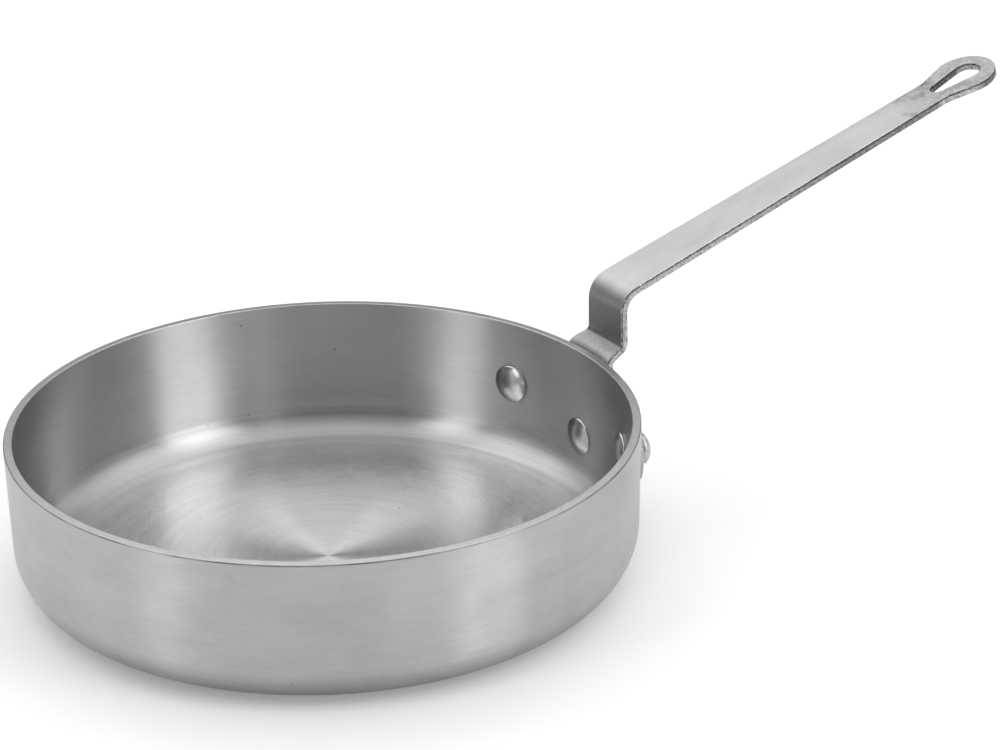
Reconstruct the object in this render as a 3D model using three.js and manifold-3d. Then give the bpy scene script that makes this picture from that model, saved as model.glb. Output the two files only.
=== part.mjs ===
// Saute pan: a straight-sided aluminium body and a flat steel handle held by three rivets.
// Millimetres, +Z up. The origin is the centre of the underside, and the handle points along +X.

import * as THREE from 'three';
import { mergeVertices } from 'three/addons/utils/BufferGeometryUtils.js';
import Module from 'manifold-3d';

const wasm = await Module();
wasm.setup();

const degrees = THREE.MathUtils.degToRad;

// Pan body
const PAN_RADIUS = 125; // outside of the rim
const PAN_HEIGHT = 62; // underside to rim
const WALL = 3.6;
const FLOOR = 3.6;
const WALL_LEAN = degrees(1.3); // the wall opens towards the rim
const CORNER_RADIUS = 20; // outside, between wall and underside
const RIM_BEVEL = 0.4; // on both edges of the rim's flat face

// Handle strip from the side. Its face looks at the pan and, along the grip, upwards.
const STRIP = 3.4; // thickness of the steel
const NECK_REACH = 8.4; // rim to the face of the neck
const JOG_RISE = 3.7; // rim up to the corner between jog and neck
const JOG_ANGLE = degrees(21); // slope of the jog that carries the strip clear of the rim
const NECK_RISE = 25.6; // rim up to the corner between neck and grip
const GRIP_ANGLE = degrees(16.8); // slope of the grip
const GRIP_LENGTH = 207; // that corner to the tip
const ROOT_BEND = 1.6; // inside radius, bracket to jog
const NECK_BEND = 2.2; // inside radius, jog to neck
const GRIP_BEND = 7.6; // inside radius, neck to grip

// Outline of the strip
const ROOT_WIDTH = 29; // where the bracket spreads out
const NECK_WIDTH = 24.2;
const WAIST_WIDTH = 18; // narrowest place, before the eye
const WAIST_TO_TIP = 32;
const WAIST_FILLET = 12;
const EYE_RADIUS = 13.5;

// Teardrop hole in the eye
const HOLE_RADIUS = 6; // round end, towards the tip
const HOLE_POINT_RADIUS = 3.2; // narrow end
const HOLE_LENGTH = 25.4;
const HOLE_TO_TIP = 6.1;

// Outline of the bracket plate, measured along the wall
const SPREAD_DROP = 2; // rim down to where the plate spreads out
const SPREAD_FILLET = 6;
const WING_RADIUS = 13.5; // round end of each wing
const WING_MARGIN = 10.8; // upper rivet's axis to the end of the wing
const WING_DROP = 0.7; // upper rivet's axis down to the middle of the wing's end
const TAB_RADIUS = 10.5; // round the lower rivet

// Rivets
const RIVET_PITCH = 86.4; // between the two upper rivets, round the wall
const UPPER_RIVET_DROP = 26.8; // rim down to the upper rivets
const LOWER_RIVET_DROP = 37.6; // rim down to the lower rivet
const SHANK_RADIUS = 3.5;
const INNER_HEAD_RADIUS = 8;
const INNER_HEAD_EDGE = 0.4; // height of the head's rim
const INNER_HEAD_DOME = 1.7; // rise of the dome above that rim
const OUTER_HEAD_RADIUS = 6.1;
const OUTER_HEAD_EDGE = 1.8;
const OUTER_HEAD_DOME = 2.5;

// Clearances
const SEAT_GAP = 0.3; // between faces that are riveted together
const BORE_GAP = 0.3; // round each shank

// Facets
const PAN_STEPS = 96;
const CORNER_STEPS = 7;
const BEND_STEPS = 6;
const OUTLINE_STEPS = 8;
const STRIP_COLUMNS = 16;
const RIVET_STEPS = 24;
const DOME_STEPS = 4;
const LEAST_STEP = 0.25; // cross sections of the strip lie at least this far apart
const WIDTH_STEP = 5; // and differ at most this much in half width

const aluminium = new THREE.MeshStandardMaterial({ color: 0xb9babb, roughness: 0.38, metalness: 1 });
const steel = new THREE.MeshStandardMaterial({ color: 0xb3b2b0, roughness: 0.3, metalness: 1 });
const rivetMetal = new THREE.MeshStandardMaterial({ color: 0xc9c9ca, roughness: 0.2, metalness: 1 });

// Solids

function solid(geometry) {
  geometry.deleteAttribute('normal');
  geometry.deleteAttribute('uv');
  const merged = mergeVertices(geometry);
  const corners = merged.index.array;
  const triangles = [];
  for (let i = 0; i < corners.length; i += 3) {
    const [a, b, c] = corners.slice(i, i + 3);
    if (a !== b && b !== c && c !== a) triangles.push(a, b, c);
  }
  return new wasm.Manifold(new wasm.Mesh({
    numProp: 3,
    vertProperties: merged.attributes.position.array,
    triVerts: Uint32Array.from(triangles),
  }));
}

function piece(name, body, material) {
  const { vertProperties, triVerts } = body.getMesh();
  const geometry = new THREE.BufferGeometry();
  geometry.setAttribute('position', new THREE.BufferAttribute(vertProperties, 3));
  geometry.setIndex(new THREE.BufferAttribute(triVerts, 1));
  geometry.computeVertexNormals();
  const mesh = new THREE.Mesh(geometry, material);
  mesh.name = name;
  return mesh;
}

// A closed profile of radius and height, turned about the vertical axis
function turned(profile, steps) {
  return new THREE.LatheGeometry(profile, steps).rotateX(Math.PI / 2);
}

// Pan body

// Radius at a height of the wall's outer face, or of a face set inwards from it
function wallRadius(height, inset = 0) {
  return PAN_RADIUS - (PAN_HEIGHT - height) * Math.tan(WALL_LEAN) - inset / Math.cos(WALL_LEAN);
}

// Arc from a level base to a wall face set inwards from the outer one
function cornerArc(base, radius, inset) {
  const height = base + radius;
  const middle = wallRadius(height, inset) - radius / Math.cos(WALL_LEAN);
  const arc = new THREE.EllipseCurve(middle, height, radius, radius, -Math.PI / 2, -WALL_LEAN);
  return arc.getPoints(CORNER_STEPS);
}

function panBody() {
  const outside = cornerArc(0, CORNER_RADIUS, 0);
  const inside = cornerArc(FLOOR, CORNER_RADIUS - WALL, WALL);
  const bevelHeight = PAN_HEIGHT - RIM_BEVEL;
  const profile = [
    new THREE.Vector2(0, 0),
    ...outside,
    new THREE.Vector2(wallRadius(bevelHeight), bevelHeight),
    new THREE.Vector2(wallRadius(PAN_HEIGHT, RIM_BEVEL), PAN_HEIGHT),
    new THREE.Vector2(wallRadius(PAN_HEIGHT, WALL - RIM_BEVEL), PAN_HEIGHT),
    new THREE.Vector2(wallRadius(bevelHeight, WALL), bevelHeight),
    ...inside.reverse(),
    new THREE.Vector2(0, FLOOR),
  ];
  return solid(turned(profile, PAN_STEPS));
}

// Everything between the two heads of a rivet: wall, bracket plate and the gaps at their faces
function clampedLayers() {
  const inside = cornerArc(FLOOR + SEAT_GAP, CORNER_RADIUS - WALL - SEAT_GAP, WALL + SEAT_GAP);
  const stack = 2 * SEAT_GAP + STRIP;
  const profile = [
    new THREE.Vector2(0, 0),
    new THREE.Vector2(wallRadius(0, -stack), 0),
    new THREE.Vector2(wallRadius(PAN_HEIGHT, -stack), PAN_HEIGHT),
    new THREE.Vector2(wallRadius(PAN_HEIGHT, WALL + SEAT_GAP), PAN_HEIGHT),
    ...inside.reverse(),
    new THREE.Vector2(0, FLOOR + SEAT_GAP),
  ];
  return solid(turned(profile, PAN_STEPS));
}

// Rivets

const rivetTurn = RIVET_PITCH / 2 / PAN_RADIUS;
const rivets = [
  { name: 'rivet_left', turn: rivetTurn, height: PAN_HEIGHT - UPPER_RIVET_DROP },
  { name: 'rivet_right', turn: -rivetTurn, height: PAN_HEIGHT - UPPER_RIVET_DROP },
  { name: 'rivet_lower', turn: 0, height: PAN_HEIGHT - LOWER_RIVET_DROP },
];

// Lays a shape made about the Y axis, zero at the wall's outer face, along a rivet's axis
function alongRivet(geometry, rivet) {
  return geometry
    .rotateZ(-Math.PI / 2)
    .translate(wallRadius(rivet.height), 0, rivet.height)
    .rotateZ(rivet.turn);
}

function shankCylinder(rivet, radius, spare) {
  const inner = -WALL - SEAT_GAP - spare;
  const outer = STRIP + 2 * SEAT_GAP + spare;
  const shank = new THREE.CylinderGeometry(radius, radius, outer - inner, RIVET_STEPS);
  return solid(alongRivet(shank.translate(0, (inner + outer) / 2, 0), rivet));
}

function bore(rivet) {
  return shankCylinder(rivet, SHANK_RADIUS + BORE_GAP, WALL + STRIP);
}

// Half section of a head: a straight rim, then a dome up to the crown on the axis
function headProfile(seat, radius, edge, dome) {
  const sphere = (radius ** 2 + dome ** 2) / (2 * dome);
  const lip = Math.atan2(sphere - dome, radius);
  const crown = new THREE.EllipseCurve(0, seat + edge + dome - sphere, sphere, sphere, lip, Math.PI / 2);
  return [new THREE.Vector2(radius, 0), ...crown.getPoints(DOME_STEPS)];
}

function rivetBody(rivet, layers) {
  const inner = headProfile(WALL + SEAT_GAP, INNER_HEAD_RADIUS, INNER_HEAD_EDGE, INNER_HEAD_DOME);
  const outer = headProfile(STRIP + 2 * SEAT_GAP, OUTER_HEAD_RADIUS, OUTER_HEAD_EDGE, OUTER_HEAD_DOME);
  const flipped = inner.reverse().map((point) => new THREE.Vector2(point.x, -point.y));
  const heads = solid(alongRivet(new THREE.LatheGeometry([...flipped, ...outer], RIVET_STEPS), rivet));
  return heads.subtract(layers).add(shankCylinder(rivet, SHANK_RADIUS, INNER_HEAD_EDGE));
}

// Handle

function heading(angle) {
  return new THREE.Vector2(Math.cos(angle), Math.sin(angle));
}

// Where two straight runs meet, each given by a point and its heading
function crossing(point, direction, other, otherDirection) {
  const along = other.clone().sub(point).cross(otherDirection) / direction.cross(otherDirection);
  return point.clone().addScaledVector(direction, along);
}

// Arc of a radius that touches both sides of a corner
function cornerBend(before, corner, after, radius) {
  const back = before.clone().sub(corner).normalize();
  const ahead = after.clone().sub(corner).normalize();
  const half = Math.acos(back.dot(ahead)) / 2;
  const middle = back.clone().add(ahead).setLength(radius / Math.sin(half)).add(corner);
  const start = back.setLength(radius / Math.tan(half)).add(corner).sub(middle);
  const end = ahead.setLength(radius / Math.tan(half)).add(corner).sub(middle);
  const clockwise = start.cross(end) < 0;
  return new THREE.EllipseCurve(middle.x, middle.y, radius, radius, start.angle(), end.angle(), clockwise);
}

const footDrop = LOWER_RIVET_DROP + TAB_RADIUS; // rim down to the bracket's foot

// Face of the strip from the side, as straight runs and bends from the bracket's foot to the tip
function stripSide() {
  const upTheWall = heading(Math.PI / 2 - WALL_LEAN);
  const rimPoint = new THREE.Vector2(wallRadius(PAN_HEIGHT, -SEAT_GAP), PAN_HEIGHT);
  const foot = rimPoint.clone().addScaledVector(upTheWall, -footDrop);
  const neckFoot = new THREE.Vector2(PAN_RADIUS + NECK_REACH, PAN_HEIGHT + JOG_RISE);
  const neckTop = new THREE.Vector2(PAN_RADIUS + NECK_REACH, PAN_HEIGHT + NECK_RISE);
  const root = crossing(foot, upTheWall, neckFoot, heading(JOG_ANGLE));
  const gripEnd = neckTop.clone().addScaledVector(heading(GRIP_ANGLE), GRIP_LENGTH);
  const arcs = [
    cornerBend(foot, root, neckFoot, ROOT_BEND + STRIP),
    cornerBend(root, neckFoot, neckTop, NECK_BEND),
    cornerBend(neckFoot, neckTop, gripEnd, GRIP_BEND + STRIP),
  ];
  const path = new THREE.CurvePath();
  let start = foot;
  for (const arc of arcs) {
    path.add(new THREE.LineCurve(start, arc.getPoint(0)));
    path.add(arc);
    start = arc.getPoint(1);
  }
  path.add(new THREE.LineCurve(start, gripEnd));
  return path;
}

// Distances along the strip, from the foot, at which its runs and bends end
const side = stripSide();
const [plateEnd, rootEnd, jogEnd, neckStart, neckEnd, gripStart, tip] = side.getCurveLengths();
const bends = [[plateEnd, rootEnd], [jogEnd, neckStart], [neckEnd, gripStart]];

// Half outline that wraps a row of circles like a belt, from the near end of the first circle
// to the far end of the last. A negative radius makes a hollow curve, and zero a corner.
function beltOutline(circles) {
  const touches = circles.slice(1).map((next, i) => {
    const last = circles[i];
    const gap = new THREE.Vector2(next.x - last.x, next.y - last.y);
    return Math.atan2(gap.y, gap.x) + Math.acos((last.radius - next.radius) / gap.length());
  });
  const angles = [Math.PI, ...touches, 0];
  return circles.flatMap(({ x, y, radius }, i) => {
    const steps = radius === 0 ? 0 : OUTLINE_STEPS;
    return Array.from({ length: steps + 1 }, (_, step) => {
      const angle = THREE.MathUtils.lerp(angles[i], angles[i + 1], step / Math.max(steps, 1));
      return heading(angle).multiplyScalar(radius).add(new THREE.Vector2(x, y));
    });
  });
}

// Half outline of the flat blank: x is the distance along the strip, y the half width
function blankOutline() {
  return beltOutline([
    { x: TAB_RADIUS, y: 0, radius: TAB_RADIUS },
    {
      x: footDrop - UPPER_RIVET_DROP - WING_DROP,
      y: RIVET_PITCH / 2 + WING_MARGIN - WING_RADIUS,
      radius: WING_RADIUS,
    },
    { x: footDrop - SPREAD_DROP, y: ROOT_WIDTH / 2 + SPREAD_FILLET, radius: -SPREAD_FILLET },
    { x: neckStart, y: NECK_WIDTH / 2, radius: 0 },
    { x: tip - WAIST_TO_TIP, y: WAIST_WIDTH / 2 + WAIST_FILLET, radius: -WAIST_FILLET },
    { x: tip - EYE_RADIUS, y: 0, radius: EYE_RADIUS },
  ]);
}

// Adds points to an outline where its half width changes fast
function gradual(outline) {
  return outline.flatMap((point, i) => {
    const last = outline[Math.max(i - 1, 0)];
    const steps = Math.max(1, Math.ceil(Math.abs(point.y - last.y) / WIDTH_STEP));
    return Array.from({ length: steps }, (_, step) => last.clone().lerp(point, (step + 1) / steps));
  });
}

function halfWidthAt(outline, distance) {
  const next = Math.max(1, outline.findIndex((point) => point.x >= distance));
  const [a, b] = [outline[next - 1], outline[next]];
  return b.x === a.x ? b.y : THREE.MathUtils.mapLinear(distance, a.x, b.x, a.y, b.y);
}

// Cross sections of the bent strip. The bracket wraps the wall, and the first bend lays the strip flat.
function stripStations() {
  const outline = gradual(blankOutline());
  const bendSteps = bends.flatMap(([start, end]) => Array.from({ length: BEND_STEPS + 1 }, (_, i) => (
    THREE.MathUtils.lerp(start, end, i / BEND_STEPS)
  )));
  const distances = [...outline.map((point) => point.x), ...bendSteps]
    .sort((a, b) => a - b)
    .filter((distance, i, all) => i === 0 || distance === tip || distance - all[i - 1] > LEAST_STEP);
  return distances.map((distance) => {
    const along = side.getTangent(distance / tip);
    return {
      face: side.getPoint(distance / tip),
      back: new THREE.Vector2(along.y, -along.x),
      halfWidth: halfWidthAt(outline, distance),
      wrap: 1 - THREE.MathUtils.smoothstep(distance, plateEnd, rootEnd),
    };
  });
}

// The blank bent to shape: a gridded box with one cross section for each station
function bentStrip() {
  const stations = stripStations();
  const runs = stations.length - 1;
  const box = new THREE.BoxGeometry(runs, 2, STRIP, runs, STRIP_COLUMNS, 1);
  const position = box.attributes.position;
  for (let i = 0; i < position.count; i++) {
    const { face, back, halfWidth, wrap } = stations[Math.round(position.getX(i) + runs / 2)];
    const middle = face.clone().addScaledVector(back, STRIP / 2 - position.getZ(i));
    const across = position.getY(i) * halfWidth;
    const curve = wrap / middle.x;
    const x = wrap > 0 ? middle.x - (1 - Math.cos(across * curve)) / curve : middle.x;
    const y = wrap > 0 ? Math.sin(across * curve) / curve : across;
    position.setXYZ(i, x, y, middle.y);
  }
  return solid(box);
}

function teardropHole() {
  const far = GRIP_LENGTH - HOLE_TO_TIP;
  const half = beltOutline([
    { x: far - HOLE_LENGTH + HOLE_POINT_RADIUS, y: 0, radius: HOLE_POINT_RADIUS },
    { x: far - HOLE_RADIUS, y: 0, radius: HOLE_RADIUS },
  ]);
  const mirrored = half.slice(1, -1).reverse().map((point) => new THREE.Vector2(point.x, -point.y));
  const shape = new THREE.Shape([...half, ...mirrored]);
  const cut = new THREE.ExtrudeGeometry(shape, { depth: 3 * STRIP, bevelEnabled: false });
  cut.translate(0, 0, -2 * STRIP);
  cut.rotateY(-GRIP_ANGLE);
  return solid(cut.translate(PAN_RADIUS + NECK_REACH, 0, PAN_HEIGHT + NECK_RISE));
}

// Assembly

const cutBores = (body) => rivets.reduce((rest, rivet) => rest.subtract(bore(rivet)), body);
const layers = clampedLayers();

const sautePan = new THREE.Group();
sautePan.add(piece('pan_body', cutBores(panBody()), aluminium));
sautePan.add(piece('handle', cutBores(bentStrip().subtract(teardropHole())), steel));
for (const rivet of rivets) sautePan.add(piece(rivet.name, rivetBody(rivet, layers), rivetMetal));

export default sautePan;
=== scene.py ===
"""Looks of the saute pan: a turned aluminium body, a bent steel handle and three rivets in a white studio."""

import math

import bmesh
import bpy
from mathutils import Matrix, Vector


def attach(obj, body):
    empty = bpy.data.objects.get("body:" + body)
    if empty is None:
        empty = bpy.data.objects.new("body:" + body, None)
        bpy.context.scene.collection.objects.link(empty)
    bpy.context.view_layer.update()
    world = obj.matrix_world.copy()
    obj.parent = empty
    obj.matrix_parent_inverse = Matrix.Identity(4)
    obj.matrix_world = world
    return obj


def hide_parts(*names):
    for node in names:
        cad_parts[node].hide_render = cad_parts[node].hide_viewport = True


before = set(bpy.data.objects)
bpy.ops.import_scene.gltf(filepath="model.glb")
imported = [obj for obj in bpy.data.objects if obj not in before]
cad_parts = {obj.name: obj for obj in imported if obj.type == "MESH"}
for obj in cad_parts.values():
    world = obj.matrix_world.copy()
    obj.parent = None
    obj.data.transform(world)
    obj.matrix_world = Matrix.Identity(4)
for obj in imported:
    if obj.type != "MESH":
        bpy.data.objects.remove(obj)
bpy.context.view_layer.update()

MM = 0.001

# Pan body, in millimetres
PAN_RADIUS = 125
PAN_HEIGHT = 62
WALL = 3.6
FLOOR = 3.6
WALL_LEAN = math.radians(1.3)
CORNER_RADIUS = 20
RIM_BEVEL = 0.4
RIM_FALL = 0.2  # the faced rim slopes outwards by this much
INNER_EDGE = PAN_HEIGHT - RIM_BEVEL  # heights at which the rim's bevels start
OUTER_EDGE = INNER_EDGE - RIM_FALL

# Handle strip from the side
STRIP = 3.4
NECK_REACH = 8.4
JOG_RISE = 3.7
JOG_ANGLE = math.radians(21)
NECK_RISE = 25.6
GRIP_ANGLE = math.radians(16.8)
GRIP_LENGTH = 207
ROOT_BEND = 1.6
NECK_BEND = 2.2
GRIP_BEND = 7.6
STRIP_EDGE = 0.45  # rounding of the strip's edges

# Outline of the strip
ROOT_WIDTH = 29
NECK_WIDTH = 24.2
WAIST_WIDTH = 18
WAIST_TO_TIP = 32
WAIST_FILLET = 12
EYE_RADIUS = 13.5
HOLE_RADIUS = 6
HOLE_POINT_RADIUS = 3.2
HOLE_LENGTH = 25.4
HOLE_TO_TIP = 6.1

# Rivets
RIVET_PITCH = 86.4
UPPER_RIVET_DROP = 26.8
LOWER_RIVET_DROP = 37.6
SHANK_RADIUS = 3.5
INNER_HEAD_RADIUS = 8
INNER_HEAD_EDGE = 0.4
INNER_HEAD_DOME = 1.7
OUTER_HEAD_RADIUS = 6.1
OUTER_HEAD_EDGE = 1.8
OUTER_HEAD_DOME = 2.5
SEAT_GAP = 0.3

# Outline of the bracket plate
SPREAD_DROP = 2
SPREAD_FILLET = 6
WING_RADIUS = 13.5
WING_MARGIN = 10.8
WING_DROP = 0.7
TAB_RADIUS = 10.5
FOOT_DROP = LOWER_RIVET_DROP + TAB_RADIUS

# Fineness of the meshes
PAN_STEPS = 288
ROW_STEP = 4  # rows of the turned body lie at most this far apart
CORNER_STEPS = 24
EDGE_STEPS = 4
BEND_STEPS = 14
OUTLINE_STEPS = 28
RUN_STEP = 6  # cross lines on the straight runs of the strip
PLATE_STEP = 3  # lines along the bracket plate, which wraps the wall
RIVET_STEPS = 72
DOME_STEPS = 16
EDGE_TILT = 0.5  # faces of the flat blank whose normal rises less are its edges
HOLE_MARGIN = 1  # edges this near to the hole belong to it

# Polish on the turning lines, from none to full
MIDDLE_POLISH = 0.4
FLOOR_POLISH = 1.0
WALL_POLISH = 0.2
OUTER_POLISH = 0.1
POLISHED_FROM = 35  # radii between which the floor's polish grows
POLISHED_TO = 105
POLISH_END = 0.8  # height over the floor at which its polish has ended

# Turning marks and painted shade in the inside corner: strength, and heights over the floor of their start,
# middle and end
CORNER_MARKS_AND_SHADE = [(0.62, (0, 1.6, 5.6)), (0.6, (5.6, 9, 15))]

# Lines round the axis: their count per radian, their count per metre across, and detail of the noise
BRUSHING = (20, 4400, 3)
BANDS = (8, 1100, 2)
FEED = (0.9, 560, 3)
BLOTCHES = (4, 60, 3)
NICKS = (60, 900, 3)

# Noise on the flat blank: counts per metre along, across and through it, and detail
GRAIN = ((60, 1800, 1800), 3)
MOTTLE = ((480, 480, 480), 5)
STEEL_CLOUD = ((40, 90, 90), 5)
SMUDGES = ((70, 110, 110), 3)
STRETCH_MARKS = ((900, 900, 900), 4)
TEARS = ((800, 800, 900), 4)
SPECKS = ((1300, 1300, 1300), 2)
EDGE_CLOUD = ((120, 120, 120), 3)

# Noise on the object: counts per metre, and detail
ALUMINIUM_CLOUD = (70, 4)
SCRATCH_LIE = (10, 0)
SCRATCH_PATCH = (120, 0)
RIVET_LUMPS = (210, 0.5)
RIVET_FINE = (2200, 2)

# Ranges that hold most values of a noise, and the middle ones alone
MOST = (0.3, 0.7)
MIDDLE = (0.35, 0.65)

# Tone of the turned aluminium, and how far its finish moves it either way
OUTSIDE_TONE = 0.51
INSIDE_TONE = 0.65
BRUSHING_TONE = 0.036
BLOTCHES_TONE = 0.035
CLOUD_TONE = 0.022
INSIDE_PATCHES = 0.5  # share of the outside's blotches and cloud that the inside has
BANDS_TONE = 0.012
RINGS_TONE = 0.045
WALL_RINGS = 0.25  # share of the floor's rings that the walls have

# What darkens the turned aluminium: painted shade, marks of the tool and flaws
PAINTED_FOOT_SHADE = 0.52  # share of the tone that is left at the foot of the outside, as painted shade
FOOT_SHADE_FROM = 2  # heights between which the painted shade fades
FOOT_SHADE_TO = 16
# Painted shade: a dark line along the rim's outer edge, as shares taken off the tone
PAINTED_RIM_SHADE = (0.2, 0.7)
# Shares taken off the tone in the inside corner: turning marks with painted shade
MARKS_AND_PAINTED_SHADE = (0.42, 0.16)
PIT_CELLS = 110  # places per metre that may have a pit
PIT_SHARE = 0.1
PIT_SIZE = 0.065
PIT_TONE = 0.45
SCRATCH_DEPTH = 0.4  # next to a pit's
SCRATCH_WIDTH = 0.0012  # in levels of the noise that the scratches follow
SCRATCH_FROM = 0.7  # level of the patches from which they are scratched

# Roughness and gloss of the turned aluminium
TURNED_ROUGHNESS = (0.3, 0.37)
CLOUD_ROUGHNESS = 0.015
POLISHED_ROUGHNESS = -0.08
MARKED_ROUGHNESS = -0.03
ACROSS_LINES = 0.25  # of a turn, so that the light spreads across the lines
GLOSS_INDEX = 2.6
GLOSS_ROUGHNESS = 0.14
LINES_RELIEF = (1.0, 0.02)  # strength, and depth in millimetres

# Faced rim
RIM_TONE = (0.5, 0.6)
NICKS_TONE = (-0.06, 0.04)
NICKS_ROUGHNESS = (0.4, 0.32)
RIM_ROUGHNESS = 0.04

# Rolled faces of the strip
STEEL_TONE = (0.505, 0.58)
GRAIN_TONE = 0.007
SMUDGE_SHADE = 0.5
SMUDGE_LEVELS = (0.52, 0.68)  # of their noise, between which the smudges grow
STRETCH_SHADE = 0.14
MOTTLE_SHADE = (0.34, 0.1)
GRAIN_ROUGHNESS = 0.01
WORN_ROUGHNESS = 0.4
STEEL_RELIEF = (0.5, 0.008)

# Sheared edges of the strip, with lengths in millimetres
DARK_LINE_HEIGHT = 1.1  # height above the strip's middle of a dark line along the edge
DARK_LINE_WIDTH = 0.5
DARK_LINE_TONE = 0.2
TORN_TONE = (-0.16, 0.1)
EDGE_TONE = (0.42, 0.54)
SPECK_TONE = 0.3
SPECK_LEVELS = (0.3, 0.46)  # of their noise, between which the specks fade
EDGE_ROUGHNESS = (0.52, 0.36)
EDGE_RELIEF = (0.8, 0.3)

# Rivets
RIVET_TONE = (0.6, 0.76)
FINE_TONE = (-0.04, 0.04)
# Painted shade: the share of the tone that the heads on the outside of the pan keep
OUTER_HEAD_PAINTED_SHADE = 0.72
RIVET_ROUGHNESS = (0.17, 0.25)
OUTER_HEAD_ROUGHNESS = 0.1
RIVET_RELIEF = (0.6, 0.4)

# Camera, as fitted to the photograph's rim, base and wall
HANDLE_TURN = math.radians(32)  # the handle points this far behind the picture's right
CAMERA_PITCH = math.radians(23.651)
CAMERA_ROLL = math.radians(-1.146)
CAMERA_LENS = 129.6  # on a sensor 36 mm wide
RIM_FROM_CAMERA = Vector((-0.06952, -0.01854, -1.41396))  # right, up and back, in metres

RIM_CENTRE = Vector((0, 0, PAN_HEIGHT * MM))
STUDIO = Matrix.Rotation(-HANDLE_TURN, 4, "Z")  # right, away from the camera and up

# Studio, in metres
PAPER_WIDTH = 12
PAPER_GREY = 0.9
PAPER_LIFT = 0.22  # what the paper's own light leaves short of white, for eye and reflection
FAR_LIFT = 0.45  # the same far from the lamps
FAR_FROM = 0.8  # distances between which the lift grows
FAR_TO = 3.0
LAMP_DISTANCE = 1.6
FACE_POWER = 4  # watts per square metre of a lamp's face, at a brightness of one

# Brightness of the sky by height, from the horizon at zero to the top at one
SKY_AROUND = [(0.0, 0.17), (0.36, 0.17), (0.46, 0.72), (0.62, 1.0), (0.75, 1.3), (0.9, 1.2)]
SKY_IN_FRONT = [(0.0, 0.36), (0.2, 0.3), (0.3, 0.07), (0.75, 0.07), (0.95, 1.1)]
FRONT_EDGE = (-0.5, -0.2)  # where the dark front ends, from -1 towards the camera to 1 away from it

# Lamps: azimuth and elevation in degrees, width, height and brightness of the face
SOFT_BOXES = {
    "left_box": (215, 30, 0.42, 1.5, 1.36),
    "right_box": (329, 30, 0.66, 1.5, 1.7),
    "right_wing": (297, 30, 0.28, 1.5, 0.26),
    "back_box": (90, 55, 1.5, 0.7, 0.5),
    "back_wing": (142, 46, 0.9, 0.9, 0.4),
}


# Shapes

def arc(middle, radius, start, end, steps):
    """Points of an arc from one angle to another."""
    angles = [start + (end - start) * i / steps for i in range(steps + 1)]
    return [(middle[0] + radius * math.cos(a), middle[1] + radius * math.sin(a)) for a in angles]


def refined(profile, step):
    """The same profile with points added where they lie more than a step apart."""
    points = [profile[0]]
    for start, end in zip(profile, profile[1:]):
        pieces = max(1, math.ceil(math.dist(start, end) / step))
        for i in range(1, pieces + 1):
            share = i / pieces
            points.append(tuple(a + (b - a) * share for a, b in zip(start, end)))
    return points


def smooth_step(value, low, high):
    """Zero up to a low value, one from a high value, and a smooth rise between them."""
    share = min(max((value - low) / (high - low), 0), 1)
    return share * share * (3 - 2 * share)


def hump(value, start, middle, end):
    """Zero outside a range, rising smoothly to one in its middle."""
    return smooth_step(value, start, middle) - smooth_step(value, middle, end)


def turned(name, profile, steps):
    """A profile of radius and height that starts and ends on the axis, turned about Z, in millimetres."""
    first, *rings, last = profile
    vertices = [(0, 0, first[1] * MM)]
    for radius, height in rings:
        for i in range(steps):
            angle = 2 * math.pi * i / steps
            vertices.append((radius * math.cos(angle) * MM, radius * math.sin(angle) * MM, height * MM))
    vertices.append((0, 0, last[1] * MM))
    faces = []
    for i in range(steps):
        following = (i + 1) % steps
        faces.append((0, 1 + following, 1 + i))
        for ring in range(len(rings) - 1):
            low, high = 1 + ring * steps, 1 + (ring + 1) * steps
            faces.append((low + i, low + following, high + following, high + i))
        top = 1 + (len(rings) - 1) * steps
        faces.append((top + i, top + following, len(vertices) - 1))
    mesh = bpy.data.meshes.new(name)
    mesh.from_pydata(vertices, [], faces)
    return mesh


def piece(name, mesh, node, slot, *materials):
    """Shows a mesh in place of a CAD node, smooth, with its materials."""
    shown = bpy.data.objects.new(name, mesh)
    bpy.context.scene.collection.objects.link(shown)
    mesh.shade_smooth()
    for material in materials:
        mesh.materials.append(material)
    weighted = shown.modifiers.new("weighted_normals", "WEIGHTED_NORMAL")
    weighted.mode = "FACE_AREA"
    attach(shown, "root")
    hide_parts(node)


def store(mesh, name, values):
    """Keeps a number for each point of a mesh, for its material to read."""
    mesh.attributes.new(name, "FLOAT", "POINT").data.foreach_set("value", values)


# Pan body

def wall_radius(height, inset=0):
    """Radius at a height of the wall's outer face, or of a face set inwards from it."""
    return PAN_RADIUS - (PAN_HEIGHT - height) * math.tan(WALL_LEAN) - inset / math.cos(WALL_LEAN)


def corner_arc(base, radius, inset):
    """Arc from a level base to a wall face."""
    height = base + radius
    middle = (wall_radius(height, inset) - radius / math.cos(WALL_LEAN), height)
    return arc(middle, radius, -math.pi / 2, -WALL_LEAN, CORNER_STEPS)


def outer_profile():
    """Half section from the middle of the underside to the top of the rim."""
    below_edge = OUTER_EDGE - RIM_BEVEL
    bevel_middle = (wall_radius(OUTER_EDGE, RIM_BEVEL), OUTER_EDGE)
    return refined([
        (0, 0),
        *corner_arc(0, CORNER_RADIUS, 0),
        (wall_radius(below_edge), below_edge),
        *arc(bevel_middle, RIM_BEVEL, 0, math.pi / 2, EDGE_STEPS),
    ], ROW_STEP)


def inner_profile():
    """Half section from the top of the rim to the middle of the floor."""
    bevel_middle = (wall_radius(INNER_EDGE, WALL - RIM_BEVEL), INNER_EDGE)
    return refined([
        *arc(bevel_middle, RIM_BEVEL, math.pi / 2, math.pi, EDGE_STEPS),
        *reversed(corner_arc(FLOOR, CORNER_RADIUS - WALL, WALL)),
        (0, FLOOR),
    ], ROW_STEP)


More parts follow.
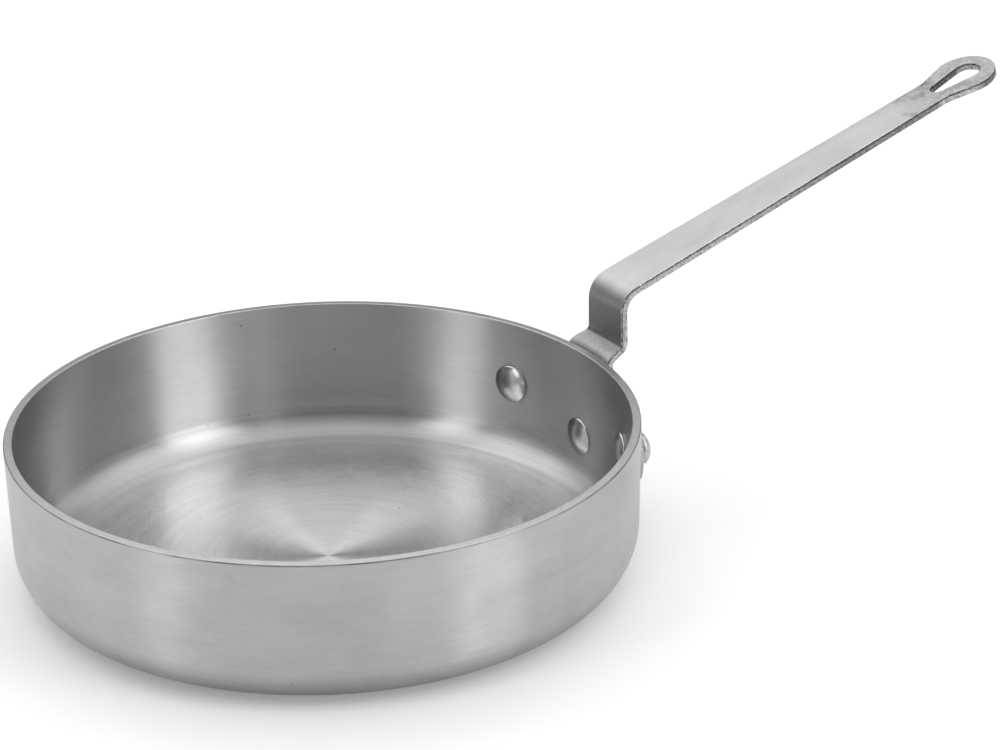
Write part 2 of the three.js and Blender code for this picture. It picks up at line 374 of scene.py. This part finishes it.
def inside_polish(radius, height):
    """Polish of the inside, which grows outwards on the floor and is slight on the wall."""
    outwards = smooth_step(radius, POLISHED_FROM, POLISHED_TO)
    on_floor = MIDDLE_POLISH + (FLOOR_POLISH - MIDDLE_POLISH) * outwards
    off_floor = smooth_step(height, FLOOR, FLOOR + POLISH_END)
    return on_floor + (WALL_POLISH - on_floor) * off_floor


def pan_mesh():
    """The turned body, with what its first material reads at each point. The rim's top has the second one."""
    outer = outer_profile()
    mesh = turned("pan_body_turned", [*outer, *inner_profile()], PAN_STEPS)
    inside_first = 1 + (len(outer) - 1) * PAN_STEPS
    outermost = PAN_RADIUS - RIM_BEVEL / 2
    inside, corner, polish, painted_rim_shade = [], [], [], []
    for index, vertex in enumerate(mesh.vertices):
        radius, height = vertex.co.xy.length / MM, vertex.co.z / MM
        is_inside = index >= inside_first
        marks_and_shade = sum(strength * hump(height - FLOOR, *heights) for strength, heights in CORNER_MARKS_AND_SHADE)
        inside.append(float(is_inside))
        corner.append(is_inside * marks_and_shade)
        polish.append(inside_polish(radius, height) if is_inside else OUTER_POLISH)
        # Points on the rim's outer edge, which get painted shade
        painted_rim_shade.append(float(height >= OUTER_EDGE - RIM_BEVEL / 2 and radius > outermost))
    for face in mesh.polygons:
        on_top = face.center.z / MM > PAN_HEIGHT - RIM_BEVEL / 2
        face.material_index = int(on_top and face.center.xy.length / MM < outermost)
    store(mesh, "inside", inside)
    store(mesh, "inside_corner", corner)
    store(mesh, "polish", polish)
    store(mesh, "painted_rim_shade", painted_rim_shade)
    return mesh


# Handle

def direction(angle):
    return Vector((math.cos(angle), math.sin(angle)))


def bearing(start, end):
    return math.atan2(end.y - start.y, end.x - start.x)


def bent_runs(corners, radii):
    """Straight runs and bends of a line with rounded corners, and its length.

    A run is its start distance, point, bearing and curvature.
    """
    runs = []
    distance = 0
    here = corners[0]
    for before, corner, after, radius in zip(corners, corners[1:], corners[2:], radii):
        into, out = bearing(before, corner), bearing(corner, after)
        reach = radius * math.tan(abs(out - into) / 2)
        start = corner - direction(into) * reach
        runs.append((distance, here, into, 0))
        distance += (start - here).length
        runs.append((distance, start, into, math.copysign(1 / radius, out - into)))
        distance += radius * abs(out - into)
        here = corner + direction(out) * reach
    runs.append((distance, here, out, 0))
    return runs, distance + (corners[-1] - here).length


def strip_runs():
    """Face of the strip from the side, from the bracket's foot to the tip."""
    up_the_wall = direction(math.pi / 2 - WALL_LEAN)
    rim = Vector((wall_radius(PAN_HEIGHT, -SEAT_GAP), PAN_HEIGHT))
    neck_foot = Vector((PAN_RADIUS + NECK_REACH, PAN_HEIGHT + JOG_RISE))
    neck_top = Vector((PAN_RADIUS + NECK_REACH, PAN_HEIGHT + NECK_RISE))
    jog = direction(JOG_ANGLE)
    to_root = (neck_foot - rim).cross(jog) / up_the_wall.cross(jog)
    corners = [
        rim - up_the_wall * FOOT_DROP,
        rim + up_the_wall * to_root,
        neck_foot,
        neck_top,
        neck_top + direction(GRIP_ANGLE) * GRIP_LENGTH,
    ]
    return bent_runs(corners, [ROOT_BEND + STRIP, NECK_BEND, GRIP_BEND + STRIP])


RUNS, TIP = strip_runs()
PLATE_END, ROOT_END, JOG_END, NECK_START, NECK_END, GRIP_START = (run[0] for run in RUNS[1:])


def along_strip(distance):
    """Point and bearing of the strip's face at a distance from the foot."""
    start, point, angle, curvature = [run for run in RUNS if run[0] <= distance or run is RUNS[0]][-1]
    travel = distance - start
    if curvature == 0:
        return point + direction(angle) * travel, angle
    turned_to = angle + curvature * travel
    sideways = Vector((math.sin(turned_to) - math.sin(angle), math.cos(angle) - math.cos(turned_to)))
    return point + sideways / curvature, turned_to


def belt_outline(circles):
    """Half outline that wraps a row of circles (x, y, radius) like a belt. A negative radius is a hollow."""
    angles = [math.pi]
    for (x, y, radius), (next_x, next_y, next_radius) in zip(circles, circles[1:]):
        gap = math.hypot(next_x - x, next_y - y)
        angles.append(math.atan2(next_y - y, next_x - x) + math.acos((radius - next_radius) / gap))
    angles.append(0)
    points = []
    for (x, y, radius), start, end in zip(circles, angles, angles[1:]):
        points += arc((x, y), radius, start, end, OUTLINE_STEPS if radius else 1)
    return points


def closed_outline(half):
    """A half outline and its mirror image, as one loop."""
    return half + [(x, -y) for x, y in reversed(half[1:-1])]


def blank_outline():
    """Outline of the blank, from the bracket's tab to the eye."""
    wing_along = FOOT_DROP - UPPER_RIVET_DROP - WING_DROP
    wing_across = RIVET_PITCH / 2 + WING_MARGIN - WING_RADIUS
    return closed_outline(belt_outline([
        (TAB_RADIUS, 0, TAB_RADIUS),
        (wing_along, wing_across, WING_RADIUS),
        (FOOT_DROP - SPREAD_DROP, ROOT_WIDTH / 2 + SPREAD_FILLET, -SPREAD_FILLET),
        (NECK_START, NECK_WIDTH / 2, 0),
        (TIP - WAIST_TO_TIP, WAIST_WIDTH / 2 + WAIST_FILLET, -WAIST_FILLET),
        (TIP - EYE_RADIUS, 0, EYE_RADIUS),
    ]))


def hole_outline():
    """Outline of the teardrop hole in the eye."""
    far = TIP - HOLE_TO_TIP
    return closed_outline(belt_outline([
        (far - HOLE_LENGTH + HOLE_POINT_RADIUS, 0, HOLE_POINT_RADIUS),
        (far - HOLE_RADIUS, 0, HOLE_RADIUS),
    ]))


def flat_blank():
    """The stamped blank as a flat solid with rounded edges: x along the strip, y across, z through it."""
    curve = bpy.data.curves.new("blank", "CURVE")
    curve.dimensions = "2D"
    curve.fill_mode = "BOTH"
    curve.extrude = STRIP / 2 - STRIP_EDGE
    curve.bevel_depth = STRIP_EDGE
    curve.bevel_resolution = EDGE_STEPS
    curve.offset = -STRIP_EDGE
    for outline in (blank_outline(), hole_outline()):
        spline = curve.splines.new("POLY")
        spline.points.add(len(outline) - 1)
        for point, (x, y) in zip(spline.points, outline):
            point.co = (x, y, 0, 1)
        spline.use_cyclic_u = True
    flat = bpy.data.objects.new("blank", curve)
    bpy.context.scene.collection.objects.link(flat)
    mesh = bpy.data.meshes.new_from_object(flat.evaluated_get(bpy.context.evaluated_depsgraph_get()))
    bpy.data.objects.remove(flat)
    return mesh


def cut_lines():
    """Distances along the strip at which the flat blank gets a cross line, so that it can bend."""
    lines = []
    stops = [0, *(run[0] for run in RUNS[1:]), TIP]
    for index, (start, end) in enumerate(zip(stops, stops[1:])):
        bend = index % 2 == 1
        pieces = BEND_STEPS if bend else max(1, round((end - start) / RUN_STEP))
        lines += [start + (end - start) * i / pieces for i in range(1, pieces + 1)]
    return lines[:-1]


def cut_blank(form):
    """Cuts cross lines into the flat blank, and lines along its plate."""
    for distance in cut_lines():
        everything = form.verts[:] + form.edges[:] + form.faces[:]
        bmesh.ops.bisect_plane(form, geom=everything, plane_co=(distance, 0, 0), plane_no=(1, 0, 0))
    half_lines = int((RIVET_PITCH / 2 + WING_MARGIN) / PLATE_STEP)
    for line in range(-half_lines, half_lines + 1):
        plate = [face for face in form.faces if face.calc_center_median().x < ROOT_END]
        parts = list({part for face in plate for part in (*face.verts, *face.edges, face)})
        bmesh.ops.bisect_plane(form, geom=parts, plane_co=(0, line * PLATE_STEP, 0), plane_no=(0, 1, 0))


def in_hole(place):
    """Whether a place of the flat blank is at the hole's edge."""
    past_hole = TIP - HOLE_TO_TIP - place.x
    return abs(place.y) < HOLE_RADIUS + HOLE_MARGIN and -HOLE_MARGIN < past_hole < HOLE_LENGTH + HOLE_MARGIN


def bent_place(distance, across, depth):
    """Where a point of the flat blank lies once the blank is bent. The bracket wraps the wall."""
    face, angle = along_strip(distance)
    x = face.x + depth * math.sin(angle)
    z = face.y - depth * math.cos(angle)
    curve = (1 - smooth_step(distance, PLATE_END, ROOT_END)) / x
    if curve == 0:
        return Vector((x, across, z))
    return Vector((x - (1 - math.cos(across * curve)) / curve, math.sin(across * curve) / curve, z))


def handle_mesh():
    """The bent strip, which keeps its place on the flat blank.

    Its edges have the second material, and the hole's edge has the third.
    """
    mesh = flat_blank()
    form = bmesh.new()
    form.from_mesh(mesh)
    bmesh.ops.remove_doubles(form, verts=form.verts, dist=STRIP_EDGE / 100)
    cut_blank(form)
    form.normal_update()
    flat_place = form.verts.layers.float_vector.new("blank")
    for face in form.faces:
        if abs(face.normal.z) < EDGE_TILT:
            face.material_index = 2 if in_hole(face.calc_center_median()) else 1
    for vertex in form.verts:
        distance, across, height = vertex.co
        vertex[flat_place] = vertex.co * MM
        vertex.co = bent_place(distance, across, STRIP / 2 - height) * MM
    bmesh.ops.recalc_face_normals(form, faces=form.faces)
    form.to_mesh(mesh)
    form.free()
    return mesh


# Rivets

def head_profile(seat, radius, edge, dome):
    """Half section of a head from its seat to its crown: a straight rim and a dome."""
    sphere = (radius**2 + dome**2) / (2 * dome)
    lip = math.atan2(sphere - dome, radius)
    crown = arc((0, seat + edge + dome - sphere), sphere, lip, math.pi / 2, DOME_STEPS)
    return [(radius, seat), *crown[:-1], (0, seat + edge + dome)]


def rivet_mesh(name, turn, height):
    """A rivet along the wall's normal. Zero along its axis is the wall's outer face."""
    inner = head_profile(WALL, INNER_HEAD_RADIUS, INNER_HEAD_EDGE + SEAT_GAP, INNER_HEAD_DOME)
    outer = head_profile(STRIP + SEAT_GAP, OUTER_HEAD_RADIUS, OUTER_HEAD_EDGE + SEAT_GAP, OUTER_HEAD_DOME)
    shank = [(SHANK_RADIUS, -WALL), (SHANK_RADIUS, STRIP + SEAT_GAP)]
    profile = [*((radius, -along) for radius, along in reversed(inner)), *shank, *outer]
    mesh = turned(name, refined(profile, INNER_HEAD_DOME), RIVET_STEPS)
    lie = Matrix.Rotation(math.pi / 2, 4, "Y")
    place = Matrix.Translation((wall_radius(height) * MM, 0, height * MM))
    mesh.transform(Matrix.Rotation(turn, 4, "Z") @ place @ lie)
    return mesh


# Nodes

def add(tree, kind, inputs=None, **settings):
    """Adds a node. An input is a value, or a socket to link."""
    node = tree.nodes.new(kind)
    for name, value in settings.items():
        setattr(node, name, value)
    for name, value in (inputs or {}).items():
        if isinstance(value, bpy.types.NodeSocket):
            tree.links.new(value, node.inputs[name])
        else:
            node.inputs[name].default_value = value
    return node


def new_material(name):
    """An empty material and its tree of nodes."""
    material = bpy.data.materials.new(name)
    material.use_nodes = True
    tree = material.node_tree
    tree.nodes.clear()
    return material, tree


def combined(tree, operation, first, second=0):
    """Result of mathematics on one or two numbers."""
    return add(tree, "ShaderNodeMath", {0: first, 1: second}, operation=operation).outputs["Value"]


def plus(tree, first, second):
    return combined(tree, "ADD", first, second)


def times(tree, first, second):
    return combined(tree, "MULTIPLY", first, second)


def without(tree, value):
    """What a share leaves of the whole."""
    return combined(tree, "SUBTRACT", 1, value)


def vectors(tree, operation, *inputs):
    """A node of mathematics on one or two vectors."""
    return add(tree, "ShaderNodeVectorMath", dict(enumerate(inputs)), operation=operation)


def mapped(tree, value, low, high, from_low=0.0, from_high=1.0):
    """A value carried from one range to another."""
    node = add(tree, "ShaderNodeMapRange", {
        "Value": value, "From Min": from_low, "From Max": from_high, "To Min": low, "To Max": high,
    })
    return node.outputs["Result"]


def swing(tree, value, reach):
    """A noise carried to levels that reach as far below zero as above it."""
    return mapped(tree, value, -reach, reach, *MOST)


def grey(tree, value):
    """A number as a grey colour."""
    node = add(tree, "ShaderNodeCombineColor", {"Red": value, "Green": value, "Blue": value})
    return node.outputs["Color"]


def ramp(tree, value, stops):
    """Grey levels by a value from zero to one."""
    node = add(tree, "ShaderNodeValToRGB", {"Fac": value})
    elements = node.color_ramp.elements
    while len(elements) < len(stops):
        elements.new(0.5)
    for element, (position, level) in zip(elements, stops):
        element.position = position
        element.color = (level, level, level, 1)
    return node.outputs["Color"]


def object_place(tree):
    return add(tree, "ShaderNodeTexCoord").outputs["Object"]


def blank_place(tree):
    """Place on the flat blank, in metres."""
    return add(tree, "ShaderNodeAttribute", attribute_name="blank").outputs["Vector"]


def attribute(tree, name):
    """A number that was stored for the points of the mesh."""
    return add(tree, "ShaderNodeAttribute", attribute_name=name).outputs["Fac"]


def part(tree, place, axis):
    """One coordinate of a place."""
    return add(tree, "ShaderNodeSeparateXYZ", {0: place}).outputs[axis]


def level_part(tree, place):
    """A place without its height."""
    return vectors(tree, "MULTIPLY", place, (1, 1, 0)).outputs["Vector"]


def length(tree, place):
    return vectors(tree, "LENGTH", place).outputs["Value"]


def noise(tree, place, scale, detail):
    node = add(tree, "ShaderNodeTexNoise", {"Vector": place, "Scale": scale, "Detail": detail})
    return node.outputs["Fac"]


def bump(tree, height, strength, depth):
    """Normal of a relief with a depth in millimetres."""
    node = add(tree, "ShaderNodeBump", {"Height": height, "Strength": strength, "Distance": depth * MM})
    return node.outputs["Normal"]


def metal(tree, tone, roughness, normal, **constants):
    """Grey metal with linked tone, roughness and normal, and its other values set on their own sockets."""
    shader = add(tree, "ShaderNodeBsdfPrincipled", {
        "Metallic": 1.0,
        "Base Color": grey(tree, tone),
        "Roughness": roughness,
        "Normal": normal,
        **constants,
    })
    add(tree, "ShaderNodeOutputMaterial", {"Surface": shader.outputs["BSDF"]})


# Materials

def turning_lines(tree, around, across, detail):
    """Noise of fine lines round the axis. Around is their count per radian, across their count per metre."""
    place = object_place(tree)
    flat = level_part(tree, place)
    circle = vectors(tree, "NORMALIZE", flat).outputs["Vector"]
    wide = vectors(tree, "MULTIPLY", circle, (around, around, around)).outputs["Vector"]
    rise = times(tree, part(tree, place, "Z"), across)
    fine = add(tree, "ShaderNodeCombineXYZ", {"Z": rise}).outputs["Vector"]
    lines = add(tree, "ShaderNodeTexNoise", {
        "Vector": vectors(tree, "ADD", wide, fine).outputs["Vector"],
        "W": times(tree, length(tree, flat), across),
        "Scale": 1.0,
        "Detail": detail,
    }, noise_dimensions="4D")
    return lines.outputs["Fac"]


def pits(tree, place):
    """One in the middle of scattered pits."""
    cells = add(tree, "ShaderNodeTexVoronoi", {"Vector": place, "Scale": PIT_CELLS})
    chance = add(tree, "ShaderNodeSeparateColor", {"Color": cells.outputs["Color"]}).outputs["Red"]
    near = mapped(tree, cells.outputs["Distance"], 1, 0, PIT_SIZE / 2, PIT_SIZE)
    return times(tree, near, combined(tree, "LESS_THAN", chance, PIT_SHARE))


def scratches(tree, place):
    """Depth of a few thin scratches, which follow the middle level of a noise."""
    above = combined(tree, "SUBTRACT", noise(tree, place, *SCRATCH_LIE), 0.5)
    line = mapped(tree, combined(tree, "ABSOLUTE", above), SCRATCH_DEPTH, 0, 0, SCRATCH_WIDTH)
    return times(tree, line, combined(tree, "GREATER_THAN", noise(tree, place, *SCRATCH_PATCH), SCRATCH_FROM))


def turned_aluminium():
    """Aluminium with turning lines, which spread the light across them, and a gloss where it is polished."""
    material, tree = new_material("turned_aluminium")
    place = object_place(tree)
    inside, corner = attribute(tree, "inside"), attribute(tree, "inside_corner")
    polish = attribute(tree, "polish")
    brushing = turning_lines(tree, *BRUSHING)
    feed = turning_lines(tree, *FEED)
    cloud = noise(tree, place, *ALUMINIUM_CLOUD)
    flaws = combined(tree, "MAXIMUM", pits(tree, place), scratches(tree, place))

    # Tone: brushing and patches, painted shade at the outside's foot and along the rim's outer edge, rings
    # and marks of the tool with painted shade in the inside corner, flaws
    tone = plus(tree, mapped(tree, inside, OUTSIDE_TONE, INSIDE_TONE), swing(tree, brushing, BRUSHING_TONE))
    blotches = swing(tree, turning_lines(tree, *BLOTCHES), BLOTCHES_TONE)
    patches = plus(tree, blotches, swing(tree, cloud, CLOUD_TONE))
    tone = plus(tree, tone, times(tree, patches, mapped(tree, inside, 1, INSIDE_PATCHES)))
    tone = plus(tree, tone, swing(tree, turning_lines(tree, *BANDS), BANDS_TONE))
    # Painted shade: the outside darkens towards its foot
    up = mapped(tree, part(tree, place, "Z"), PAINTED_FOOT_SHADE, 1, FOOT_SHADE_FROM * MM, FOOT_SHADE_TO * MM)
    tone = times(tree, tone, combined(tree, "MAXIMUM", inside, up))
    # Painted shade along the rim's outer edge
    painted_rim_shade = times(tree, attribute(tree, "painted_rim_shade"), mapped(tree, cloud, *PAINTED_RIM_SHADE, *MIDDLE))
    tone = times(tree, tone, without(tree, painted_rim_shade))
    on_floor = mapped(tree, polish, WALL_RINGS, 1, WALL_POLISH, MIDDLE_POLISH)
    tone = plus(tree, tone, times(tree, swing(tree, feed, RINGS_TONE), on_floor))
    # Turning marks with painted shade darken the inside corner
    marks_and_shade = times(tree, corner, mapped(tree, feed, *MARKS_AND_PAINTED_SHADE, *MIDDLE))
    tone = times(tree, tone, without(tree, marks_and_shade))
    tone = times(tree, tone, mapped(tree, flaws, 1, PIT_TONE))

    roughness = mapped(tree, brushing, *TURNED_ROUGHNESS, *MOST)
    roughness = plus(tree, roughness, swing(tree, cloud, CLOUD_ROUGHNESS))
    polished = mapped(tree, polish, 0, POLISHED_ROUGHNESS, MIDDLE_POLISH, FLOOR_POLISH)
    roughness = plus(tree, roughness, polished)
    roughness = plus(tree, roughness, mapped(tree, corner, 0, MARKED_ROUGHNESS))
    relief = plus(tree, brushing, combined(tree, "SUBTRACT", times(tree, feed, corner), flaws))
    tangent = add(tree, "ShaderNodeTangent", direction_type="RADIAL", axis="Z").outputs["Tangent"]
    metal(tree, tone, roughness, bump(tree, relief, *LINES_RELIEF), **{
        "Anisotropic": 1.0,
        "Anisotropic Rotation": ACROSS_LINES,
        "Tangent": tangent,
        "Coat Weight": polish,
        "Coat IOR": GLOSS_INDEX,
        "Coat Roughness": GLOSS_ROUGHNESS,
    })
    return material


def faced_aluminium():
    """The rim's top, faced flat, with fine rings and nicks."""
    material, tree = new_material("faced_aluminium")
    lines = turning_lines(tree, *BRUSHING)
    nicks = turning_lines(tree, *NICKS)
    tone = plus(tree, mapped(tree, lines, *RIM_TONE, *MOST), mapped(tree, nicks, *NICKS_TONE, *MOST))
    worn = mapped(tree, nicks, *NICKS_ROUGHNESS, *MOST)
    roughness = plus(tree, swing(tree, lines, RIM_ROUGHNESS), worn)
    metal(tree, tone, roughness, bump(tree, lines, *LINES_RELIEF))
    return material


def strip_noise(tree, scale, detail):
    """Noise on the flat blank, with a scale for each of its directions, in counts per metre."""
    place = vectors(tree, "MULTIPLY", blank_place(tree), scale).outputs["Vector"]
    return noise(tree, place, 1.0, detail)


def along_blank(tree, stops):
    """Level by distance along the strip, from stops of distance in millimetres and level."""
    share = mapped(tree, part(tree, blank_place(tree), "X"), 0, 1, 0, TIP * MM)
    level = ramp(tree, share, [(stop / TIP, level) for stop, level in stops])
    return add(tree, "ShaderNodeSeparateColor", {"Color": level}).outputs["Red"]


def before_tip(*stops):
    """Stops by distance along the strip, from their distances before the tip."""
    return [(TIP - before, level) for before, level in stops]


# Levels along the strip, by distance from the foot or before the tip
FORGED = before_tip((52, 0), (34, 1))
SMUDGED = before_tip((64, 0), (50, 1), (32, 1), (24, 0.3))
EDGE_SHADE = before_tip((150, 1), (90, 0.55), (36, 0.5), (33, 1.1), (18, 1), (13, 0.45))
HOLE_SHADE = before_tip((14, 0.3), (10, 0.9))
STRETCHED = [(PLATE_END - 6, 0), (PLATE_END, 1), (NECK_START, 1), (NECK_END, 0.3), (GRIP_START, 0)]
STRIP_ROUGHNESS = [(0, 0.4), (NECK_END, 0.46), (GRIP_START, 0.42), (GRIP_START + 14, 0.26)]
# Painted shade along the strip: the plate, the jog and the neck darker than the grip, with a dark line in the
# crease at the neck's foot
PAINTED_BEND_SHADE = [
    (0, 0.9),
    (PLATE_END, 0.9),
    (ROOT_END, 0.74),
    (JOG_END, 0.7),
    ((JOG_END + NECK_START) / 2, 0.4),
    (NECK_START, 0.7),
    (NECK_START + NECK_BEND, 0.5),
    (NECK_END, 0.62),
    (GRIP_START, 1),
]


def rolled_steel():
    """Faces of the strip: fine grain along it, rougher bends darkened by painted shade, smudges before the
    eye and a mottled eye.
    """
    material, tree = new_material("rolled_steel")
    grain = strip_noise(tree, *GRAIN)
    mottle = strip_noise(tree, *MOTTLE)
    cloud = strip_noise(tree, *STEEL_CLOUD)
    forged = along_blank(tree, FORGED)
    smudges = mapped(tree, strip_noise(tree, *SMUDGES), 0, SMUDGE_SHADE, *SMUDGE_LEVELS)
    smudges = times(tree, smudges, along_blank(tree, SMUDGED))
    pulled = mapped(tree, strip_noise(tree, *STRETCH_MARKS), STRETCH_SHADE, 0, *MIDDLE)
    pulled = times(tree, pulled, along_blank(tree, STRETCHED))
    worn = times(tree, forged, mapped(tree, mottle, *MOTTLE_SHADE, *MIDDLE))
    worn = plus(tree, worn, plus(tree, smudges, pulled))

    tone = plus(tree, swing(tree, grain, GRAIN_TONE), mapped(tree, cloud, *STEEL_TONE, *MOST))
    # Painted shade on the plate, the jog, the crease and the neck
    tone = times(tree, tone, along_blank(tree, PAINTED_BEND_SHADE))
    tone = times(tree, tone, without(tree, worn))
    roughness = plus(tree, swing(tree, grain, GRAIN_ROUGHNESS), along_blank(tree, STRIP_ROUGHNESS))
    roughness = plus(tree, roughness, times(tree, worn, WORN_ROUGHNESS))
    relief = plus(tree, grain, times(tree, mottle, forged))
    metal(tree, tone, roughness, bump(tree, relief, *STEEL_RELIEF))
    return material


def sheared_steel(name, shade):
    """Torn edge of the blank. Shade darkens it by distance along the strip."""
    material, tree = new_material(name)
    tears = strip_noise(tree, *TEARS)
    specks = strip_noise(tree, *SPECKS)
    cloud = strip_noise(tree, *EDGE_CLOUD)
    height = combined(tree, "SUBTRACT", part(tree, blank_place(tree), "Z"), DARK_LINE_HEIGHT * MM)
    wander = plus(tree, height, mapped(tree, tears, -DARK_LINE_WIDTH * 2 * MM, DARK_LINE_WIDTH * 2 * MM))
    off_line = combined(tree, "ABSOLUTE", wander)
    # A dark line along the edge, at a wandering height
    dark_line = mapped(tree, off_line, DARK_LINE_TONE, 1, DARK_LINE_WIDTH * MM / 3, DARK_LINE_WIDTH * MM)

    tone = plus(tree, mapped(tree, tears, *TORN_TONE, *MOST), mapped(tree, cloud, *EDGE_TONE, *MOST))
    tone = times(tree, tone, mapped(tree, specks, SPECK_TONE, 1, *SPECK_LEVELS))
    tone = times(tree, tone, dark_line)
    tone = times(tree, tone, along_blank(tree, shade))
    roughness = mapped(tree, tears, *EDGE_ROUGHNESS, *MOST)
    metal(tree, tone, roughness, bump(tree, tears, *EDGE_RELIEF))
    return material


def upset_aluminium():
    """Rivets: lumpy from the hammer, and on the outside of the pan rougher and darkened by painted shade."""
    material, tree = new_material("upset_aluminium")
    place = object_place(tree)
    lumps = noise(tree, place, *RIVET_LUMPS)
    fine = noise(tree, place, *RIVET_FINE)
    radius = length(tree, level_part(tree, place))
    outside = mapped(tree, radius, 0, 1, (PAN_RADIUS - WALL) * MM, PAN_RADIUS * MM)
    tone = plus(tree, mapped(tree, fine, *FINE_TONE), mapped(tree, lumps, *RIVET_TONE))
    # Painted shade on the heads outside the pan
    tone = times(tree, tone, mapped(tree, outside, 1, OUTER_HEAD_PAINTED_SHADE))
    roughness = mapped(tree, fine, *RIVET_ROUGHNESS)
    roughness = plus(tree, roughness, mapped(tree, outside, 0, OUTER_HEAD_ROUGHNESS))
    metal(tree, tone, roughness, bump(tree, lumps, *RIVET_RELIEF))
    return material


# Studio

def any_of(tree, node, names):
    """One where any of the named outputs is one."""
    first, *rest = (node.outputs[name] for name in names)
    for output in rest:
        first = combined(tree, "MAXIMUM", first, output)
    return first


def studio_floor():
    """White paper. Eye and reflection see it lifted to white, and it keeps the shadow."""
    half = PAPER_WIDTH / 2
    mesh = bpy.data.meshes.new("studio_floor")
    corners = [(-half, -half, 0), (half, -half, 0), (half, half, 0), (-half, half, 0)]
    mesh.from_pydata(corners, [], [(0, 1, 2, 3)])
    floor = bpy.data.objects.new("studio_floor", mesh)
    bpy.context.scene.collection.objects.link(floor)
    material, tree = new_material("studio_paper")
    paper = add(tree, "ShaderNodeBsdfDiffuse", {"Color": (PAPER_GREY, PAPER_GREY, PAPER_GREY, 1)})
    path = add(tree, "ShaderNodeLightPath")
    seen = any_of(tree, path, ("Is Camera Ray", "Is Glossy Ray", "Is Transmission Ray"))
    distance = length(tree, object_place(tree))
    short_of_white = mapped(tree, distance, PAPER_LIFT, FAR_LIFT, FAR_FROM, FAR_TO)
    lift = add(tree, "ShaderNodeEmission", {"Strength": times(tree, seen, short_of_white)})
    both = add(tree, "ShaderNodeAddShader", {0: paper.outputs["BSDF"], 1: lift.outputs["Emission"]})
    add(tree, "ShaderNodeOutputMaterial", {"Surface": both.outputs["Shader"]})
    mesh.materials.append(material)


def studio_world():
    """A white tent that is open towards the camera, where the room is dark."""
    world = bpy.data.worlds.new("studio_tent")
    bpy.context.scene.world = world
    world.use_nodes = True
    tree = world.node_tree
    tree.nodes.clear()
    look = add(tree, "ShaderNodeTexCoord").outputs["Generated"]
    height = part(tree, look, "Z")
    round_about = vectors(tree, "NORMALIZE", level_part(tree, look)).outputs["Vector"]
    away = vectors(tree, "DOT_PRODUCT", round_about, STUDIO @ Vector((0, 1, 0))).outputs["Value"]
    tent = mapped(tree, away, 0, 1, *FRONT_EDGE)
    # A mix node takes its colours at 6 and 7 and gives them at 2
    sky = add(tree, "ShaderNodeMix", {
        0: tent, 6: ramp(tree, height, SKY_IN_FRONT), 7: ramp(tree, height, SKY_AROUND),
    }, data_type="RGBA").outputs[2]
    background = add(tree, "ShaderNodeBackground", {"Color": sky})
    add(tree, "ShaderNodeOutputWorld", {"Surface": background.outputs["Background"]})


def soft_box(name, azimuth, elevation, width, height, brightness):
    """An area lamp in studio axes, aimed at the middle of the rim."""
    lamp = bpy.data.lights.new(name, "AREA")
    lamp.shape = "RECTANGLE"
    lamp.size = width
    lamp.size_y = height
    lamp.energy = FACE_POWER * width * height * brightness
    box = bpy.data.objects.new(name, lamp)
    lift = Matrix.Rotation(math.radians(azimuth), 4, "Z") @ Matrix.Rotation(-math.radians(elevation), 4, "Y")
    box.location = RIM_CENTRE + STUDIO @ lift @ Vector((LAMP_DISTANCE, 0, 0))
    box.rotation_euler = (RIM_CENTRE - box.location).to_track_quat("-Z", "Y").to_euler()
    bpy.context.scene.collection.objects.link(box)


def photo_camera():
    """The photograph's camera, as it was fitted."""
    camera = bpy.data.cameras.new("photo_camera")
    camera.lens = CAMERA_LENS
    placed = bpy.data.objects.new("photo_camera", camera)
    bpy.context.scene.collection.objects.link(placed)
    tilt = Matrix.Rotation(math.pi / 2 - CAMERA_PITCH, 4, "X") @ Matrix.Rotation(CAMERA_ROLL, 4, "Z")
    turn = STUDIO @ tilt
    placed.matrix_world = Matrix.Translation(RIM_CENTRE - turn @ RIM_FROM_CAMERA) @ turn
    bpy.context.scene.camera = placed


photo_camera()
studio_floor()
studio_world()
for box_name, settings in SOFT_BOXES.items():
    soft_box(box_name, *settings)

piece("pan_body_turned", pan_mesh(), "pan_body", "pan_aluminium", turned_aluminium(), faced_aluminium())

edge_steel = sheared_steel("sheared_steel", EDGE_SHADE)
hole_steel = sheared_steel("punched_steel", HOLE_SHADE)
piece("handle_strip", handle_mesh(), "handle", "handle_steel", rolled_steel(), edge_steel, hole_steel)

rivet_metal = upset_aluminium()
upper_turn = RIVET_PITCH / 2 / PAN_RADIUS
for node, turn, drop in (
    ("rivet_left", upper_turn, UPPER_RIVET_DROP),
    ("rivet_right", -upper_turn, UPPER_RIVET_DROP),
    ("rivet_lower", 0, LOWER_RIVET_DROP),
):
    name = node + "_upset"
    piece(name, rivet_mesh(name, turn, PAN_HEIGHT - drop), node, "rivet_aluminium", rivet_metal)

bpy.context.scene.view_settings.view_transform = "Standard"
